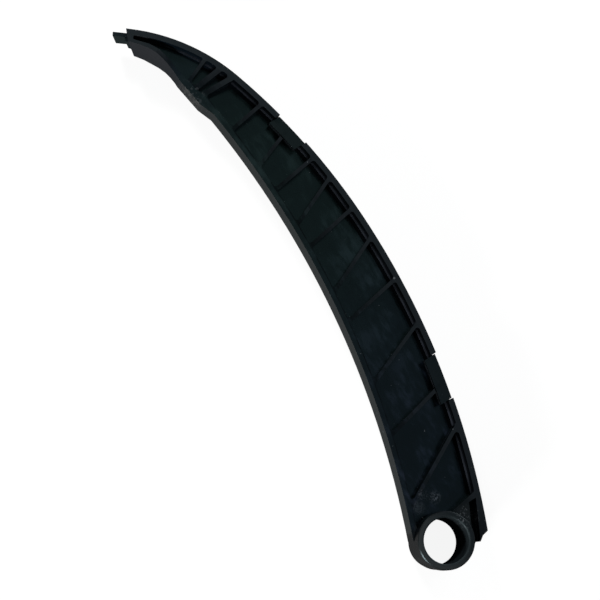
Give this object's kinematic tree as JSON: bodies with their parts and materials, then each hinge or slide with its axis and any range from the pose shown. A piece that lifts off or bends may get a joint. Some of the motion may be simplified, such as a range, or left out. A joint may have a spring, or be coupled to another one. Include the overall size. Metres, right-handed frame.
{
  "type": "timing chain guide",
  "caption": "Curved, ribbed timing chain guide arm in black nylon, with a clip-on slide shoe along its convex side and a pivot boss at one end.",
  "frame": {"origin": "middle of the footprint, at the height of the pivot boss's lower face, with the arm lying on its side", "axes": "+X from the free tip to the pivot boss, +Y towards the convex chain side, +Z along the pivot bore's axis towards its longer end"},
  "size_m": [0.263, 0.0584, 0.022],
  "materials": {
    "black_glass_filled_nylon": "satin moulded glass-filled nylon",
    "black_slide_nylon": "smooth moulded nylon"
  },
  "bodies": {
    "root": {"carrier": "black_glass_filled_nylon", "slide_shoe": "black_slide_nylon"}
  },
  "joints": []
}
